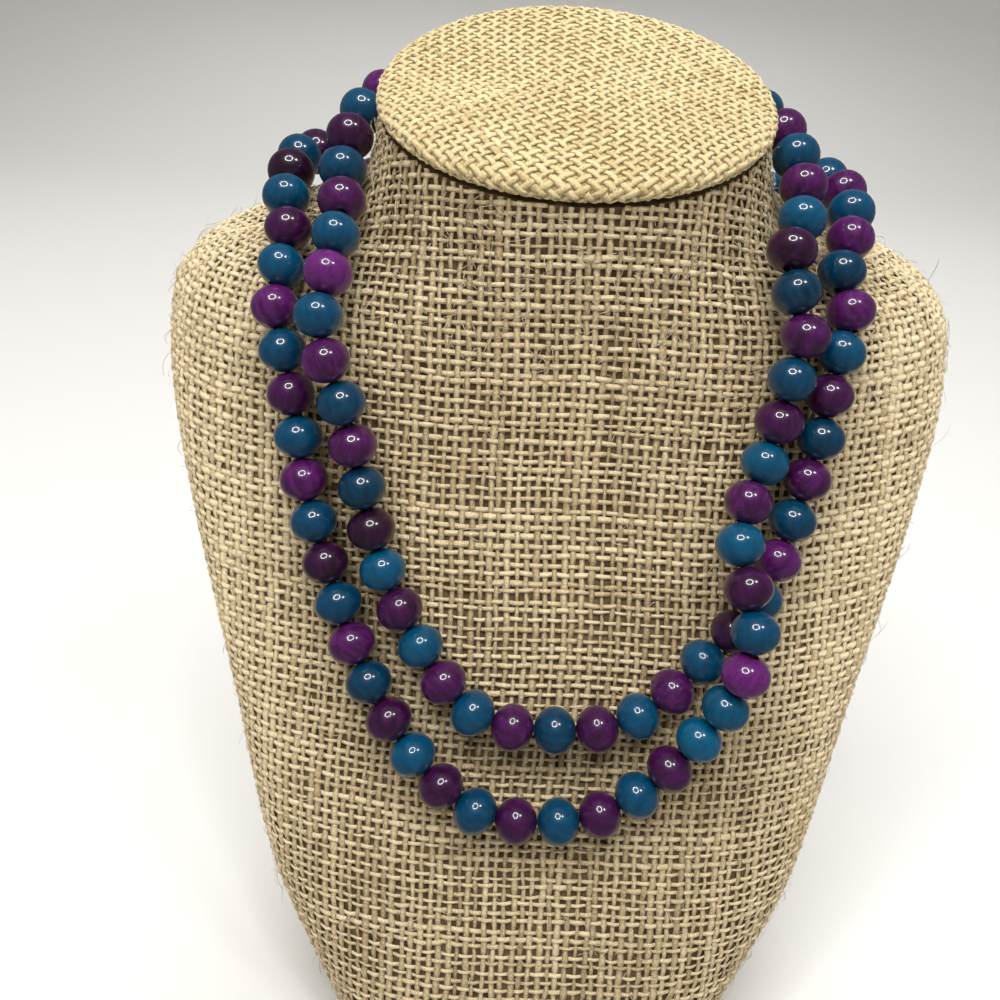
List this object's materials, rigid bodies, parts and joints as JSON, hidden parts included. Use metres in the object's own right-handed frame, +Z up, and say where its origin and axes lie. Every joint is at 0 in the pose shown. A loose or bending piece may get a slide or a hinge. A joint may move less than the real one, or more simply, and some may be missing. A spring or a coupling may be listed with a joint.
{
  "type": "beaded necklace on neck bust",
  "caption": "Long string of round beads in alternating colours, wound round the neck of a cloth-covered neck bust.",
  "frame": {"origin": "middle of the bust's flat underside", "axes": "+Z up the bust, -Y the way its front faces, +X to the right of somebody looking at its front"},
  "size_m": [0.1982, 0.1474, 0.2468],
  "materials": {
    "burlap": "coarse natural burlap, plain weave, glued over the form",
    "cap_burlap": "the same burlap laid on the bias, a little lighter",
    "teal_bead": "dyed wood under thick gloss lacquer, teal blue",
    "purple_bead": "dyed wood under thick gloss lacquer, purple, with fine darker grain",
    "thread": "dark stringing thread"
  },
  "bodies": {
    "root": {"bust_body": "burlap", "neck_cap": "cap_burlap", "turn_one_front_right": "teal_bead", "turn_one_right_shoulder": "purple_bead", "turn_one_nape_right": "teal_bead", "turn_one_nape_left": "purple_bead", "turn_one_left_shoulder": "teal_bead", "turn_one_left_breast": "purple_bead", "turn_one_front": "teal_bead", "turn_two_front_right": "purple_bead", "turn_two_right_shoulder": "teal_bead", "turn_two_nape_right": "purple_bead", "turn_two_nape_left": "teal_bead", "turn_two_left_shoulder": "purple_bead", "turn_two_left_breast": "teal_bead", "turn_two_front": "purple_bead"}
  },
  "joints": []
}
